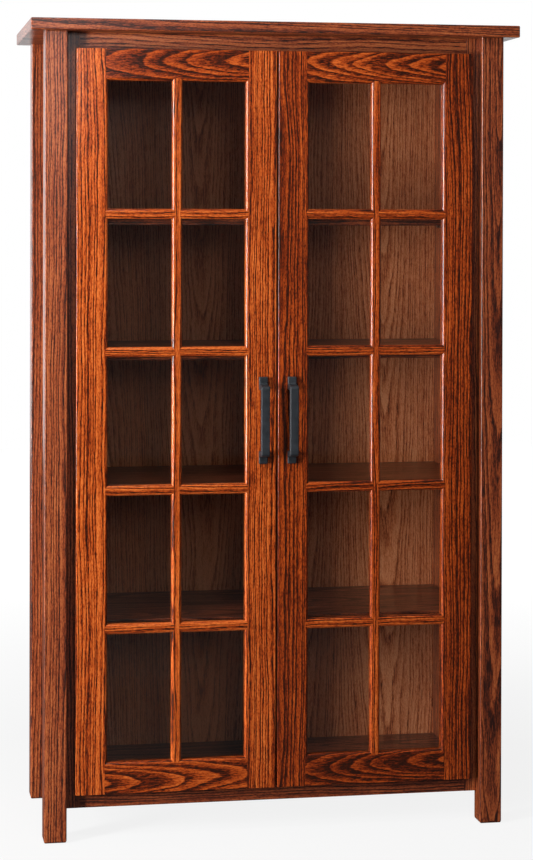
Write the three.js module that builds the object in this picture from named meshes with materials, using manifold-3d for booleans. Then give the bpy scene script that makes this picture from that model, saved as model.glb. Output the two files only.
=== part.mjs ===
// Two-door glazed bookcase on four corner posts.
// Millimetres, +Z up, +X to the right seen from the front, +Y to the back.
// Origin: on the floor, at the middle of the whole piece. The doors face -Y.

import * as THREE from 'three';
import { ConvexGeometry } from 'three/addons/geometries/ConvexGeometry.js';
import { mergeVertices } from 'three/addons/utils/BufferGeometryUtils.js';
import Module from 'manifold-3d';

const wasm = await Module();
wasm.setup();

// ---------------------------------------------------------------- driving sizes

const CASE_WIDTH = 1054;        // over the outer faces of the posts
const CASE_HEIGHT = 1802;       // floor to the underside of the top
const POSTS_DEPTH = 375;        // front of the front posts to back of the rear posts

const TOP_THICKNESS = 27;
const TOP_SIDE_OVERHANG = 33;
const TOP_FRONT_OVERHANG = 18;
const TOP_EASING = 3;

const POST_WIDTH = 51;
const POST_DEPTH = 42;
const POST_ARRIS = 2.5;
const FOOT_EASING = 6;

const PANEL_THICKNESS = 19;     // side panels and the case floor
const BACK_THICKNESS = 6;
const BACK_RECESS = 3;          // back panel behind the rear faces of the posts
const BACK_RABBET = 8;          // how far the back panel sits into each rear post

const FRAME_THICKNESS = 20;
const FRAME_SETBACK = 26.5;     // face frame behind the front of the posts
const FRAME_STILE_WIDTH = 29.5;
const FRAME_BOTTOM_EDGE = 69.5; // height of the gap under the case
const FRAME_BOTTOM_RAIL = 43;
const FRAME_TOP_RAIL = 46.5;

const DOOR_THICKNESS = 20;
const DOOR_OVERLAY = 9.5;       // door edge over the face frame
const DOOR_BUMPER_GAP = 1.5;    // back of the door to the face frame
const DOOR_MEETING_GAP = 4;
const DOOR_MEMBER = 71;         // stiles and rails, out to the sight edge
const DOOR_EASING = 2;
const MUNTIN_WIDTH = 23.5;
const LITES_HIGH = 5;
const ROUNDOVER = 6.4;          // moulded edge round every pane
const GLASS_SETBACK = 10.5;     // front of the glass behind the front of the door
const GLASS_THICKNESS = 4;
const GLASS_REBATE = 7;         // how far the rebate goes behind the sight edge
const COPE_CLEARANCE = 0.25;    // at the fitted ends of the moulded bars

const SHELF_COUNT = 4;
const SHELF_THICKNESS = 25.4;
const SHELF_END_CLEARANCE = 2;
const SHELF_FRONT_SETBACK = 5;  // behind the back of the face frame
const SHELF_BACK_CLEARANCE = 3;
const PIN_PITCH = 38.1;
const PITCHES_PER_SHELF = 8;
const LOWEST_SHELF_TOP = 482.7;
const PIN_RADIUS = 3.15;
const PIN_HOLE_RADIUS = 3.45;
const PIN_HOLE_DEPTH = 11;
const PIN_REACH = 10;           // how far a pin stands into the case
const PIN_COLLAR_RADIUS = 5;
const PIN_COLLAR_THICKNESS = 1.2;
const PIN_COLUMN_INSET = 18;    // pin columns from the front and back of the side panels

const PULL_LENGTH = 196;
const PULL_WIDTH = 19.6;
const PULL_FOOT_LENGTH = 21;
const PULL_FOOT_THICKNESS = 8;
const PULL_PROJECTION = 33;
const PULL_BAR_THICKNESS = 11;
const PULL_CENTRE_HEIGHT = 933;
const PULL_FROM_DOOR_EDGE = 31;

const CUP_RADIUS = 17.5;
const CUP_DEPTH = 11.5;
const CUP_FROM_DOOR_EDGE = 24;
const HINGE_FROM_DOOR_END = 110;
const HINGE_EAR_THICKNESS = 1;
const HINGE_RUNNING_GAP = 0.3;  // knuckle of the cup to the arm that carries the door

const ARC_STEPS = 5;            // flats in each moulded quarter circle
const EASING_STEPS = 3;         // flats in each eased edge

// ---------------------------------------------------------------- derived sizes

const CASE_HALF = CASE_WIDTH / 2;
const POST_INNER = CASE_HALF - POST_WIDTH;            // also the inside of the case
const OPENING_HALF = POST_INNER - FRAME_STILE_WIDTH;
const FRAME_BACK = FRAME_SETBACK + FRAME_THICKNESS;

const DOOR_BACK = FRAME_SETBACK - DOOR_BUMPER_GAP;
const DOOR_FRONT = DOOR_BACK - DOOR_THICKNESS;
const DOOR_OUTER = OPENING_HALF + DOOR_OVERLAY;
const DOOR_INNER = DOOR_MEETING_GAP / 2;
const DOOR_CENTRE = (DOOR_OUTER + DOOR_INNER) / 2;
const DOOR_WIDTH = DOOR_OUTER - DOOR_INNER;
const DOOR_BOTTOM = FRAME_BOTTOM_EDGE + FRAME_BOTTOM_RAIL - DOOR_OVERLAY;
const DOOR_TOP = CASE_HEIGHT - FRAME_TOP_RAIL + DOOR_OVERLAY;
const DOOR_HEIGHT = DOOR_TOP - DOOR_BOTTOM;

const SIGHT_INNER = DOOR_INNER + DOOR_MEMBER;
const SIGHT_OUTER = DOOR_OUTER - DOOR_MEMBER;
const SIGHT_BOTTOM = DOOR_BOTTOM + DOOR_MEMBER;
const SIGHT_TOP = DOOR_TOP - DOOR_MEMBER;
const SIGHT_HEIGHT = SIGHT_TOP - SIGHT_BOTTOM;
const LITE_PITCH = (SIGHT_HEIGHT + MUNTIN_WIDTH) / LITES_HIGH;

const BACK_FRONT_FACE = POSTS_DEPTH - BACK_RECESS - BACK_THICKNESS;
const REAR_POST_FRONT = POSTS_DEPTH - POST_DEPTH;
const FLOOR_TOP = FRAME_BOTTOM_EDGE + FRAME_BOTTOM_RAIL;
const SHELF_PITCH = PIN_PITCH * PITCHES_PER_SHELF;
const PIN_COLUMNS = [POST_DEPTH + PIN_COLUMN_INSET, REAR_POST_FRONT - PIN_COLUMN_INSET];

// Depths are measured from the front of the posts; this is where the middle of the
// piece lies, from the front of the pulls to the back of the posts.
const MIDDLE_DEPTH = (DOOR_FRONT - PULL_PROJECTION + POSTS_DEPTH) / 2;

const HINGE_HEIGHTS = [
  DOOR_BOTTOM + HINGE_FROM_DOOR_END,
  (DOOR_BOTTOM + DOOR_TOP) / 2,
  DOOR_TOP - HINGE_FROM_DOOR_END,
];

// ---------------------------------------------------------------- materials

const paint = (color, roughness, metalness = 0) =>
  new THREE.MeshStandardMaterial({ color, roughness, metalness });

const OAK_CASE = paint(0x6f3219, 0.42);
const OAK_DOOR = paint(0x9a451b, 0.4);
const OAK_BACK = paint(0x7d3d20, 0.5);
const BLACK_METAL = paint(0x23252a, 0.5, 0.6);
const STEEL = paint(0xa9abad, 0.35, 0.9);
const GLASS = new THREE.MeshStandardMaterial({
  color: 0xdde6e4,
  roughness: 0.05,
  transparent: true,
  opacity: 0.25,
});

// ---------------------------------------------------------------- shape helpers

// A closed shape as a solid that can be joined to others and cut by them.
function toSolid(geometry) {
  geometry.deleteAttribute('normal');
  geometry.deleteAttribute('uv');
  const merged = mergeVertices(geometry);
  return new wasm.Manifold(new wasm.Mesh({
    numProp: 3,
    vertProperties: merged.attributes.position.array,
    triVerts: Uint32Array.from(merged.index.array),
  }));
}

// A box between two corners.
function block([x0, y0, z0], [x1, y1, z1]) {
  const place = new THREE.Matrix4()
    .makeScale(x1 - x0, y1 - y0, z1 - z0)
    .setPosition((x0 + x1) / 2, (y0 + y1) / 2, (z0 + z1) / 2);
  return toSolid(new THREE.BoxGeometry(1, 1, 1).applyMatrix4(place));
}

// A round bar from a point, along +X or +Y.
function rod(radius, length, [x, y, z], axis, segments = 24) {
  const bar = new THREE.CylinderGeometry(radius, radius, length, segments);
  bar.translate(0, length / 2, 0);
  if (axis === 'x') {
    bar.rotateZ(-Math.PI / 2);
  }
  return toSolid(bar.translate(x, y, z));
}

// A board whose edges are rounded: `arris` on its four upright edges,
// `bottom` and `top` round its two ends.
function easedBoard([x0, y0, z0], [x1, y1, z1], { arris, bottom = 0, top = 0 }) {
  const points = [];
  const addRing = (inset, z) => {
    const corner = Math.max(arris - inset, 0.01);
    for (const [signX, signY, start] of [[1, 1, 0], [-1, 1, 90], [-1, -1, 180], [1, -1, 270]]) {
      const edgeX = signX > 0 ? x1 - inset - corner : x0 + inset + corner;
      const edgeY = signY > 0 ? y1 - inset - corner : y0 + inset + corner;
      for (let step = 0; step <= EASING_STEPS; step += 1) {
        const angle = THREE.MathUtils.degToRad(start + (90 * step) / EASING_STEPS);
        const [x, y] = [edgeX + corner * Math.cos(angle), edgeY + corner * Math.sin(angle)];
        points.push(new THREE.Vector3(x, y, z));
      }
    }
  };
  for (let step = 0; step <= EASING_STEPS; step += 1) {
    const angle = (Math.PI / 2) * (step / EASING_STEPS);
    addRing(bottom * (1 - Math.sin(angle)), z0 + bottom * (1 - Math.cos(angle)));
    addRing(top * (1 - Math.sin(angle)), z1 - top * (1 - Math.cos(angle)));
  }
  return toSolid(new ConvexGeometry(points));
}

// Outline of a moulded bar in (across, depth), depth 0 being the front of the door.
// The front corners are rounded: fully on a side that faces a pane, else just eased.
function mouldedOutline(low, high, depth, { lowSide = false, highSide = false }) {
  const corner = (edge, inward, moulded) => {
    const radius = moulded ? ROUNDOVER : DOOR_EASING;
    const steps = moulded ? ARC_STEPS : EASING_STEPS;
    return Array.from({ length: steps + 1 }, (_, step) => {
      const angle = (Math.PI / 2) * (step / steps);
      return [edge + inward * radius * (1 - Math.sin(angle)), radius * (1 - Math.cos(angle))];
    });
  };
  return [
    ...corner(low, 1, lowSide).reverse(),
    ...corner(high, -1, highSide),
    [high, depth],
    [low, depth],
  ];
}

// A bar with the given outline, extruded along Z from 0. All round, the outline is first
// grown by `grow`: each corner moves along its mitre, so every side moves out that far.
function bar(outline, length, grow = 0) {
  const corners = outline.map(([across, up]) => new THREE.Vector2(across, up));
  if (THREE.ShapeUtils.isClockWise(corners)) {
    corners.reverse();
  }
  const grown = corners.map((corner, index) => {
    const before = corners.at(index - 1);
    const after = corners[(index + 1) % corners.length];
    const arriving = corner.clone().sub(before).normalize();
    const leaving = after.clone().sub(corner).normalize();
    const reach = grow / (1 + arriving.dot(leaving));
    const both = arriving.add(leaving);
    return new THREE.Vector2(corner.x + reach * both.y, corner.y - reach * both.x);
  });
  return new THREE.ExtrudeGeometry(new THREE.Shape(grown), { depth: length, bevelEnabled: false });
}

// Lays a bar along X, with its outline in (Y, Z), and moves its origin to a point.
function laidAlongX(geometry, [x, y, z]) {
  const [alongX, alongY, alongZ] = [[1, 0, 0], [0, 1, 0], [0, 0, 1]]
    .map((direction) => new THREE.Vector3(...direction));
  const turn = new THREE.Matrix4().makeBasis(alongY, alongZ, alongX).setPosition(x, y, z);
  return geometry.applyMatrix4(turn);
}

// An upright bar with the given outline, between two heights. Across is X.
function uprightBar(outline, bottom, top, grow = 0) {
  return toSolid(bar(outline, top - bottom, grow).translate(0, DOOR_FRONT, bottom));
}

// A level bar with the given outline, between two X positions. Across is Z.
function levelBar(outline, left, right, grow = 0) {
  const turned = outline.map(([across, depth]) => [depth, across]);
  return toSolid(laidAlongX(bar(turned, right - left, grow), [left, DOOR_FRONT, 0]));
}

// A solid as a flat-shaded mesh. Side -1 mirrors it to the left half of the piece, which
// also turns every face round.
function toMesh(name, body, material, side = 1) {
  const { vertProperties, triVerts, numProp } = body.getMesh();
  const corners = side > 0 ? triVerts : triVerts.toReversed();
  const positions = new Float32Array(corners.length * 3);
  corners.forEach((vertex, index) => {
    for (let axis = 0; axis < 3; axis += 1) {
      positions[index * 3 + axis] = vertProperties[vertex * numProp + axis];
    }
    positions[index * 3] *= side;
  });
  const geometry = new THREE.BufferGeometry();
  geometry.setAttribute('position', new THREE.BufferAttribute(positions, 3));
  geometry.computeVertexNormals();
  const mesh = new THREE.Mesh(geometry, material);
  mesh.name = name;
  return mesh;
}

const bookcase = new THREE.Group();
bookcase.name = 'bookcase';
bookcase.position.y = -MIDDLE_DEPTH;
const add = (name, body, material, side) => bookcase.add(toMesh(name, body, material, side));

const SIDES = [['left', -1], ['right', 1]];

// ---------------------------------------------------------------- case

add(
  'top_panel',
  easedBoard(
    [-CASE_HALF - TOP_SIDE_OVERHANG, -TOP_FRONT_OVERHANG, CASE_HEIGHT],
    [CASE_HALF + TOP_SIDE_OVERHANG, POSTS_DEPTH, CASE_HEIGHT + TOP_THICKNESS],
    { arris: TOP_EASING, bottom: TOP_EASING, top: TOP_EASING },
  ),
  OAK_CASE,
);

// A post with its foot eased; `front` is the Y of its front face.
function post(side, front) {
  const outer = side * CASE_HALF;
  const inner = side * POST_INNER;
  return easedBoard(
    [Math.min(outer, inner), front, 0],
    [Math.max(outer, inner), front + POST_DEPTH, CASE_HEIGHT],
    { arris: POST_ARRIS, bottom: FOOT_EASING },
  );
}

for (const [word, side] of SIDES) {
  add(`post_front_${word}`, post(side, 0), OAK_CASE);

  const rabbet = block(
    [side * POST_INNER - BACK_RABBET, BACK_FRONT_FACE, FRAME_BOTTOM_EDGE],
    [side * POST_INNER + BACK_RABBET, POSTS_DEPTH + 1, CASE_HEIGHT + 1],
  );
  add(`post_rear_${word}`, post(side, REAR_POST_FRONT).subtract(rabbet), OAK_CASE);
}

// Shelf tops from the lowest up, and the height of the pins under each.
const shelfTops = Array.from(
  { length: SHELF_COUNT },
  (_, index) => LOWEST_SHELF_TOP + index * SHELF_PITCH,
);
const pinHeight = (shelfTop) => shelfTop - SHELF_THICKNESS - PIN_RADIUS;

for (const [word, side] of SIDES) {
  const inner = side * POST_INNER;
  const outer = side * (POST_INNER + PANEL_THICKNESS);
  let panel = block(
    [Math.min(inner, outer), POST_DEPTH, FRAME_BOTTOM_EDGE],
    [Math.max(inner, outer), REAR_POST_FRONT, CASE_HEIGHT],
  );
  for (const top of shelfTops) {
    for (const column of PIN_COLUMNS) {
      const start = side > 0 ? inner - 1 : inner - PIN_HOLE_DEPTH;
      const hole = [start, column, pinHeight(top)];
      panel = panel.subtract(rod(PIN_HOLE_RADIUS, PIN_HOLE_DEPTH + 1, hole, 'x'));
    }
  }
  add(`side_panel_${word}`, panel, OAK_CASE);
}

add(
  'back_panel',
  block(
    [-POST_INNER - BACK_RABBET, BACK_FRONT_FACE, FRAME_BOTTOM_EDGE],
    [POST_INNER + BACK_RABBET, BACK_FRONT_FACE + BACK_THICKNESS, CASE_HEIGHT],
  ),
  OAK_BACK,
);

add(
  'case_floor',
  block(
    [-POST_INNER, FRAME_BACK, FLOOR_TOP - PANEL_THICKNESS],
    [POST_INNER, BACK_FRONT_FACE, FLOOR_TOP],
  ),
  OAK_CASE,
);

// ---------------------------------------------------------------- face frame

for (const [word, side] of SIDES) {
  const inner = side * OPENING_HALF;
  const outer = side * POST_INNER;
  add(
    `frame_stile_${word}`,
    block(
      [Math.min(inner, outer), FRAME_SETBACK, FRAME_BOTTOM_EDGE],
      [Math.max(inner, outer), FRAME_BACK, CASE_HEIGHT],
    ),
    OAK_CASE,
  );
}

const FRAME_RAILS = {
  frame_rail_bottom: [FRAME_BOTTOM_EDGE, FLOOR_TOP],
  frame_rail_top: [CASE_HEIGHT - FRAME_TOP_RAIL, CASE_HEIGHT],
};
for (const [name, [bottom, top]] of Object.entries(FRAME_RAILS)) {
  add(
    name,
    block([-OPENING_HALF, FRAME_SETBACK, bottom], [OPENING_HALF, FRAME_BACK, top]),
    OAK_CASE,
  );
}

// ---------------------------------------------------------------- shelves and pins

shelfTops.forEach((top, index) => {
  const shelf = index + 1;
  const half = POST_INNER - SHELF_END_CLEARANCE;
  add(
    `shelf_${shelf}`,
    block(
      [-half, FRAME_BACK + SHELF_FRONT_SETBACK, top - SHELF_THICKNESS],
      [half, BACK_FRONT_FACE - SHELF_BACK_CLEARANCE, top],
    ),
    OAK_CASE,
  );

  for (const [word, side] of SIDES) {
    PIN_COLUMNS.forEach((column, columnIndex) => {
      const place = ['front', 'rear'][columnIndex];
      const inHole = PIN_HOLE_DEPTH - 1;
      const from = side > 0 ? POST_INNER - PIN_REACH : -POST_INNER - inHole;
      const collarFrom = side > 0 ? POST_INNER - PIN_COLLAR_THICKNESS : -POST_INNER;
      const height = pinHeight(top);
      const pin = rod(PIN_RADIUS, PIN_REACH + inHole, [from, column, height], 'x');
      const collar = rod(
        PIN_COLLAR_RADIUS,
        PIN_COLLAR_THICKNESS,
        [collarFrom, column, height],
        'x',
      );
      add(`shelf_pin_${shelf}_${word}_${place}`, pin.add(collar), STEEL);
    });
  }
});

// ---------------------------------------------------------------- doors

// Each door is drawn as the right-hand one and mirrored for the left.

// The rebate behind the sight edges that takes the glass.
const glassRebate = block(
  [SIGHT_INNER - GLASS_REBATE, DOOR_FRONT + GLASS_SETBACK, SIGHT_BOTTOM - GLASS_REBATE],
  [SIGHT_OUTER + GLASS_REBATE, DOOR_BACK + 1, SIGHT_TOP + GLASS_REBATE],
);

const MEETING_STILE = mouldedOutline(DOOR_INNER, SIGHT_INNER, DOOR_THICKNESS, { highSide: true });
const HINGE_STILE = mouldedOutline(SIGHT_OUTER, DOOR_OUTER, DOOR_THICKNESS, { lowSide: true });
const BOTTOM_RAIL = mouldedOutline(DOOR_BOTTOM, SIGHT_BOTTOM, DOOR_THICKNESS, { highSide: true });
const TOP_RAIL = mouldedOutline(SIGHT_TOP, DOOR_TOP, DOOR_THICKNESS, { lowSide: true });

// Bars fitted over a moulded edge run on to the flat of the member they meet, so
// they are cut by that member's moulded strip, grown by the clearance.
const uprightCoping = [MEETING_STILE, HINGE_STILE]
  .map((outline) => uprightBar(outline, DOOR_BOTTOM - 1, DOOR_TOP + 1, COPE_CLEARANCE))
  .reduce((both, bar) => both.add(bar))
  .intersect(
    block(
      [SIGHT_INNER - ROUNDOVER, DOOR_FRONT - 1, DOOR_BOTTOM - 1],
      [SIGHT_OUTER + ROUNDOVER, DOOR_BACK + 1, DOOR_TOP + 1],
    ),
  );
const levelCoping = [BOTTOM_RAIL, TOP_RAIL]
  .map((outline) => levelBar(outline, DOOR_INNER, DOOR_OUTER, COPE_CLEARANCE))
  .reduce((both, bar) => both.add(bar))
  .intersect(
    block(
      [DOOR_INNER, DOOR_FRONT - 1, SIGHT_BOTTOM - ROUNDOVER],
      [DOOR_OUTER, DOOR_BACK + 1, SIGHT_TOP + ROUNDOVER],
    ),
  );

function doorStile(outline) {
  return uprightBar(outline, DOOR_BOTTOM, DOOR_TOP).subtract(glassRebate);
}

// The hinge stile has a round pocket in its back for each hinge cup.
function hingeStile() {
  const pockets = HINGE_HEIGHTS.map((height) =>
    rod(
      CUP_RADIUS + 0.3,
      CUP_DEPTH + 1.5,
      [DOOR_OUTER - CUP_FROM_DOOR_EDGE, DOOR_BACK - CUP_DEPTH - 0.5, height],
      'y',
    ),
  );
  return pockets.reduce((stile, pocket) => stile.subtract(pocket), doorStile(HINGE_STILE));
}

function doorRail(outline) {
  return levelBar(outline, SIGHT_INNER - ROUNDOVER, SIGHT_OUTER + ROUNDOVER)
    .subtract(uprightCoping)
    .subtract(glassRebate);
}

// One upright and four level glazing bars, halved together, fitted over the frame.
function muntinGrid() {
  const both = { lowSide: true, highSide: true };
  const left = DOOR_CENTRE - MUNTIN_WIDTH / 2;
  const upright = uprightBar(
    mouldedOutline(left, left + MUNTIN_WIDTH, GLASS_SETBACK, both),
    SIGHT_BOTTOM - ROUNDOVER,
    SIGHT_TOP + ROUNDOVER,
  );
  const bars = Array.from({ length: LITES_HIGH - 1 }, (_, index) => {
    const low = SIGHT_BOTTOM + (index + 1) * LITE_PITCH - MUNTIN_WIDTH;
    const outline = mouldedOutline(low, low + MUNTIN_WIDTH, GLASS_SETBACK, both);
    return levelBar(outline, SIGHT_INNER - ROUNDOVER, SIGHT_OUTER + ROUNDOVER);
  });
  return bars
    .reduce((grid, bar) => grid.add(bar), upright)
    .subtract(uprightCoping)
    .subtract(levelCoping);
}

// Side view of the pull, as (out from the door, height from its middle): a foot pad
// at each end, a neck that steps out from it, and the grip bar between the necks.
function pullOutline() {
  const end = PULL_LENGTH / 2;
  const footEnd = end - PULL_FOOT_LENGTH;
  const barEnd = footEnd - 2;
  const neck = barEnd - PULL_BAR_THICKNESS;
  const barBack = PULL_PROJECTION - PULL_BAR_THICKNESS;
  const upperHalf = [
    [barBack, neck - 5],
    [barBack - 1.2, neck - 2],
    [barBack - 4, neck],
    [0, neck],
    [0, end],
    [PULL_FOOT_THICKNESS - 1.5, end],
    [PULL_FOOT_THICKNESS, end - 1.5],
    [PULL_FOOT_THICKNESS, footEnd + 5],
    [PULL_FOOT_THICKNESS + 0.8, footEnd + 2],
    [PULL_FOOT_THICKNESS + 3, barEnd + 0.6],
    [PULL_FOOT_THICKNESS + 6, barEnd],
    [PULL_PROJECTION - 3, barEnd],
    [PULL_PROJECTION - 0.8, barEnd - 0.8],
    [PULL_PROJECTION, barEnd - 3],
  ];
  const lowerHalf = upperHalf.map(([out, height]) => [out, -height]).reverse();
  return [...upperHalf, ...lowerHalf];
}

// The pull is one bar cast to that outline, with its long edges stepped in by
// `edge` so that they are eased.
function pull() {
  const edge = 1;
  const outline = pullOutline().map(([out, height]) => [-out, height]);
  const slab = (width, inset) => {
    const left = DOOR_INNER + PULL_FROM_DOOR_EDGE - width / 2;
    const place = [left, DOOR_FRONT, PULL_CENTRE_HEIGHT];
    return toSolid(laidAlongX(bar(outline, width, -inset), place));
  };
  return slab(PULL_WIDTH - 2 * edge, 0).add(slab(PULL_WIDTH, edge));
}

// The cup with its two screw ears, let into the back of the door, and the knuckle
// inside it that the arm carries.
function hingeCup(height) {
  const centre = DOOR_OUTER - CUP_FROM_DOOR_EDGE;
  const wall = 1.5;
  const floor = DOOR_BACK - CUP_DEPTH;
  const cup = rod(CUP_RADIUS, CUP_DEPTH, [centre, floor, height], 'y');
  const hollow = rod(CUP_RADIUS - wall, CUP_DEPTH, [centre, floor + wall, height], 'y');
  const ears = block(
    [centre - CUP_RADIUS - 3, DOOR_BACK, height - 26],
    [centre + CUP_RADIUS - 6, DOOR_BACK + HINGE_EAR_THICKNESS, height + 26],
  );
  const knuckle = block(
    [centre - 8, floor + wall / 2, height - 7],
    [centre + 8, DOOR_BACK + HINGE_EAR_THICKNESS, height + 7],
  );
  return cup.add(ears).subtract(hollow).add(knuckle);
}

// The mounting plate on the face frame's edge, with the arm that reaches the cup.
function hingePlate(height) {
  const front = DOOR_BACK + HINGE_EAR_THICKNESS + HINGE_RUNNING_GAP;
  const plate = block(
    [OPENING_HALF - 5, FRAME_SETBACK + 1, height - 24],
    [OPENING_HALF, FRAME_BACK - 1, height + 24],
  );
  const arm = block(
    [OPENING_HALF - 24, front, height - 8],
    [OPENING_HALF - 4, FRAME_SETBACK + 11, height + 8],
  );
  return plate.add(arm);
}

for (const [word, side] of SIDES) {
  const fit = (name, body, material) => add(`door_${word}_${name}`, body, material, side);

  fit('stile_meeting', doorStile(MEETING_STILE), OAK_DOOR);
  fit('stile_hinge', hingeStile(), OAK_DOOR);
  fit('rail_bottom', doorRail(BOTTOM_RAIL), OAK_DOOR);
  fit('rail_top', doorRail(TOP_RAIL), OAK_DOOR);
  fit('muntins', muntinGrid(), OAK_DOOR);

  const glassEdge = GLASS_REBATE - 1;
  fit(
    'glass',
    block(
      [SIGHT_INNER - glassEdge, DOOR_FRONT + GLASS_SETBACK, SIGHT_BOTTOM - glassEdge],
      [
        SIGHT_OUTER + glassEdge,
        DOOR_FRONT + GLASS_SETBACK + GLASS_THICKNESS,
        SIGHT_TOP + glassEdge,
      ],
    ),
    GLASS,
  );
  fit('pull', pull(), BLACK_METAL);

  HINGE_HEIGHTS.forEach((height, index) => {
    fit(`hinge_cup_${index + 1}`, hingeCup(height), STEEL);
    add(`hinge_plate_${word}_${index + 1}`, hingePlate(height), STEEL, side);
  });
}

export default bookcase;
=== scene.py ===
# %% [markdown]
# # A glazed oak bookcase, finished in Blender
#
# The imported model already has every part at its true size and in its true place: a case on
# four corner posts, two doors of ten panes, shelves, hinges and pulls. This file gives those
# parts their looks. Boards are made again with eased edges and moulded profiles, each with
# its own place in a log, so that one stain on one oak can give every board its own grain.
#
# Everything is in metres. X runs to the right seen from the front, Y runs to the back and Z
# runs up, with the origin on the floor at the middle of the piece.

import zlib
from math import pi, radians
from types import SimpleNamespace

import bmesh
import bpy
import numpy as np
from mathutils import Euler, Matrix, Vector


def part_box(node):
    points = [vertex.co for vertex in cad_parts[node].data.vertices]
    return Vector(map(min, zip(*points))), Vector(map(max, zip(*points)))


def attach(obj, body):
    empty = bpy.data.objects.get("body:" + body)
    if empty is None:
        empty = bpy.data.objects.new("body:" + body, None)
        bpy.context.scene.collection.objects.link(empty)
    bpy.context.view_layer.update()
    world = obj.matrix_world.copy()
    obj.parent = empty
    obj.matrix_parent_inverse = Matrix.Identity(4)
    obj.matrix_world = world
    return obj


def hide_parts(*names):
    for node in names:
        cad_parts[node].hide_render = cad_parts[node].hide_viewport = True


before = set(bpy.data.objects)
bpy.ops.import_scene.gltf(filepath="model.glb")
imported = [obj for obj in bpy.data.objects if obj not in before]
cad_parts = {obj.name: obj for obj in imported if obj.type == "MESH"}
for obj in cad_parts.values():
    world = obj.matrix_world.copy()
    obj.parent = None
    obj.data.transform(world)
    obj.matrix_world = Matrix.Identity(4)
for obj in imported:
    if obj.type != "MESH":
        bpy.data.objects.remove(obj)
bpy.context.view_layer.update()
MM = 0.001
SIDES = {"left": -1, "right": 1}

# %% [markdown]
# ## A shape helper: a profile carried along a line
#
# Almost everything in joinery is a profile carried along a straight line: a board is a
# rectangle with eased corners, a door stile is a rectangle with one edge rounded over and a
# rebate behind it. A Bevel modifier could round a box, but it rounds every edge alike. Here
# the outline is worked out corner by corner, so each corner has its own radius, and the ends
# are closed with smaller outlines that round the last few millimetres.

# %% Outlines with rounded corners
X, Y, Z = 0, 1, 2
CRISP = 0.15 * MM
END_STEPS = 4


def outlines(corners, radii, insets, free, steps=5):
    """Right-angled outlines with rounded corners, one for each inset.

    A corner P between the directions a and b becomes the quarter circle
    C + r (a sin t - b cos t), with C = P - r a + r b and t from 0 to 90 degrees.
    An inset moves the free sides inwards, and takes that much off an outward corner's radius.
    """
    corners = np.broadcast_to(corners, (len(insets), *np.shape(corners)[-2:]))
    ahead = np.roll(corners, -1, axis=1) - corners
    ahead = ahead / np.linalg.norm(ahead, axis=2, keepdims=True)
    behind = np.roll(ahead, 1, axis=1)
    inward_ahead = np.stack([-ahead[..., 1], ahead[..., 0]], axis=2)
    inward_behind = np.roll(inward_ahead, 1, axis=1)
    turn = np.sign(behind[..., 0] * ahead[..., 1] - behind[..., 1] * ahead[..., 0])
    inset = np.asarray(insets)[:, None]
    free = np.asarray(free, float)
    shift = inward_ahead * free[:, None] + inward_behind * np.roll(free, 1)[:, None]
    radius = np.maximum(np.asarray(radii) - inset * turn, 0.02 * MM)[..., None]
    centre = corners + inset[..., None] * shift + radius * (ahead - behind)
    angle = np.linspace(0, pi / 2, steps + 1)[:, None]
    arc = behind[:, :, None] * np.sin(angle) - ahead[:, :, None] * np.cos(angle)
    points = centre[:, :, None] + radius[:, :, None] * arc
    return points.reshape(len(insets), -1, 2)


def skin(rings):
    """A closed solid over rings of points: quads between neighbours, one face on each end.

    The signed volume under the quads and ends tells whether the faces look out; if it is
    negative, every face is turned round.
    """
    count, size = rings.shape[:2]
    ring, place = np.meshgrid(np.arange(count - 1), np.arange(size), indexing="ij")
    after = (place + 1) % size
    quads = np.stack([ring * size + place, ring * size + after,
                      (ring + 1) * size + after, (ring + 1) * size + place], axis=2)
    quads = quads.reshape(-1, 4)
    start = np.arange(size)[::-1]
    end = (count - 1) * size + np.arange(size)
    points = rings.reshape(-1, 3)
    seen_from = points.mean(axis=0)
    volume = 0.0
    for face in (quads, start[None], end[None]):
        spread = points[face] - seen_from
        fan = np.cross(spread[:, 1:-1], spread[:, 2:])
        volume += np.einsum("fi,fti->", spread[:, 0], fan)
    faces = [*quads.tolist(), start.tolist(), end.tolist()]
    if volume < 0:
        faces = [face[::-1] for face in faces]
    return points, faces


def rounded_ends(span, ends, middle=()):
    """The stations along a span and the inset at each, with a quarter circle at both ends.

    Each end has its own radius e: at the depth e (1 - cos t) from the end, the outline is
    drawn in by e (1 - sin t).
    """
    angle = np.linspace(0, pi / 2, END_STEPS)
    depth, inset = 1 - np.cos(angle), 1 - np.sin(angle)
    stations = [span[0] + ends[0] * depth, middle, (span[1] - ends[1] * depth)[::-1]]
    insets = [ends[0] * inset, np.zeros(len(middle)), (ends[1] * inset)[::-1]]
    return np.concatenate(stations), np.concatenate(insets)


def stacked(flat, axes, stations):
    """A solid over flat outlines in the plane of the first two axes, stacked along the third."""
    rings = np.empty((*flat.shape[:2], 3))
    rings[..., axes[0]] = flat[..., 0]
    rings[..., axes[1]] = flat[..., 1]
    rings[..., axes[2]] = stations[:, None]
    return skin(rings)


def carried(corners, radii, axes, span, ends=(CRISP, CRISP), free=None, steps=5):
    """The outline in the plane of the first two axes, carried along the third over the span."""
    if free is None:
        free = np.ones(len(radii))
    stations, insets = rounded_ends(span, ends)
    return stacked(outlines(corners, radii, insets, free, steps), axes, stations)


def rectangle(low, high):
    """The four corners of a rectangle, anticlockwise."""
    return [[low[0], low[1]], [high[0], low[1]], [high[0], high[1]], [low[0], high[1]]]


print("a square outline has", outlines(rectangle((0, 0), (1, 1)), [0.1] * 4, [0], [1] * 4).shape)

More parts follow.
